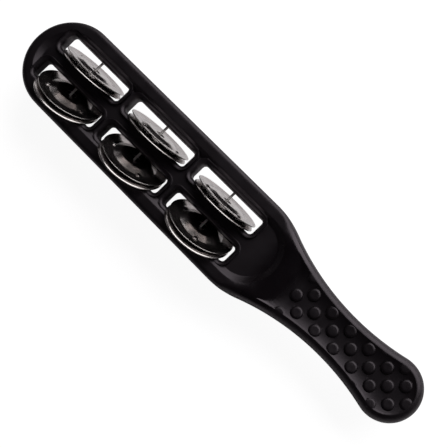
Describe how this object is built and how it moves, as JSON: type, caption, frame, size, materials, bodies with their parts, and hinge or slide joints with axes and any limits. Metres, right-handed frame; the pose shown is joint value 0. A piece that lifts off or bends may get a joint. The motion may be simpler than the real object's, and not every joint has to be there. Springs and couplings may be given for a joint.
{
  "type": "jingle stick",
  "caption": "Flat moulded percussion stick with a round head, slotted for pairs of rocking metal jingles on cross pins, and a bumped waisted handle.",
  "frame": {"origin": "middle of the stick: half way along it, on its middle line, half way through its thickness", "axes": "+X from the head towards the handle end, +Y across the stick towards its right row of jingles, +Z out of its front face"},
  "size_m": [0.2878, 0.0534, 0.0395],
  "materials": {
    "body": "near-black moulded plastic, satin",
    "pin": "plain bright steel wire",
    "jingle": "stamped sheet steel, satin plated"
  },
  "bodies": {
    "stick": {"stick_body": "body", "pin_1": "pin", "pin_2": "pin", "pin_3": "pin"},
    "right_1_outer": {"jingle_right_1_outer": "jingle"},
    "right_1_inner": {"jingle_right_1_inner": "jingle"},
    "right_2_outer": {"jingle_right_2_outer": "jingle"},
    "right_2_inner": {"jingle_right_2_inner": "jingle"},
    "right_3_outer": {"jingle_right_3_outer": "jingle"},
    "right_3_inner": {"jingle_right_3_inner": "jingle"},
    "left_1_inner": {"jingle_left_1_inner": "jingle"},
    "left_1_outer": {"jingle_left_1_outer": "jingle"},
    "left_2_inner": {"jingle_left_2_inner": "jingle"},
    "left_2_outer": {"jingle_left_2_outer": "jingle"},
    "left_3_inner": {"jingle_left_3_inner": "jingle"},
    "left_3_outer": {"jingle_left_3_outer": "jingle"}
  },
  "joints": [
    {"name": "right_1_outer_rock", "type": "hinge", "parent": "stick", "child": "right_1_outer", "pos_m": [-0.1075, 0.0093, 0], "axis": [1, 0, 0], "range_deg": [-28, 4]},
    {"name": "right_1_inner_rock", "type": "hinge", "parent": "stick", "child": "right_1_inner", "pos_m": [-0.1075, 0.0074, 0], "axis": [1, 0, 0], "range_deg": [-28, 4]},
    {"name": "right_2_outer_rock", "type": "hinge", "parent": "stick", "child": "right_2_outer", "pos_m": [-0.0552, 0.0093, 0], "axis": [1, 0, 0], "range_deg": [-28, 4]},
    {"name": "right_2_inner_rock", "type": "hinge", "parent": "stick", "child": "right_2_inner", "pos_m": [-0.0552, 0.0074, 0], "axis": [1, 0, 0], "range_deg": [-28, 4]},
    {"name": "right_3_outer_rock", "type": "hinge", "parent": "stick", "child": "right_3_outer", "pos_m": [-0.0029, 0.0093, 0], "axis": [1, 0, 0], "range_deg": [-28, 4]},
    {"name": "right_3_inner_rock", "type": "hinge", "parent": "stick", "child": "right_3_inner", "pos_m": [-0.0029, 0.0074, 0], "axis": [1, 0, 0], "range_deg": [-28, 4]},
    {"name": "left_1_inner_rock", "type": "hinge", "parent": "stick", "child": "left_1_inner", "pos_m": [-0.1075, -0.0094, 0], "axis": [1, 0, 0], "range_deg": [-50, 0]},
    {"name": "left_1_outer_rock", "type": "hinge", "parent": "stick", "child": "left_1_outer", "pos_m": [-0.1075, -0.01125, 0], "axis": [1, 0, 0], "range_deg": [-50, 0]},
    {"name": "left_2_inner_rock", "type": "hinge", "parent": "stick", "child": "left_2_inner", "pos_m": [-0.0552, -0.0094, 0], "axis": [1, 0, 0], "range_deg": [-50, 0]},
    {"name": "left_2_outer_rock", "type": "hinge", "parent": "stick", "child": "left_2_outer", "pos_m": [-0.0552, -0.01125, 0], "axis": [1, 0, 0], "range_deg": [-50, 0]},
    {"name": "left_3_inner_rock", "type": "hinge", "parent": "stick", "child": "left_3_inner", "pos_m": [-0.0029, -0.0094, 0], "axis": [1, 0, 0], "range_deg": [-50, 0]},
    {"name": "left_3_outer_rock", "type": "hinge", "parent": "stick", "child": "left_3_outer", "pos_m": [-0.0029, -0.01125, 0], "axis": [1, 0, 0], "range_deg": [-50, 0]}
  ],
  "couplings": [
    {"joint": "right_1_inner_rock", "follows": "right_1_outer_rock", "ratio": 1},
    {"joint": "right_2_inner_rock", "follows": "right_2_outer_rock", "ratio": 1},
    {"joint": "right_3_inner_rock", "follows": "right_3_outer_rock", "ratio": 1},
    {"joint": "left_1_outer_rock", "follows": "left_1_inner_rock", "ratio": 1},
    {"joint": "left_2_outer_rock", "follows": "left_2_inner_rock", "ratio": 1},
    {"joint": "left_3_outer_rock", "follows": "left_3_inner_rock", "ratio": 1}
  ]
}
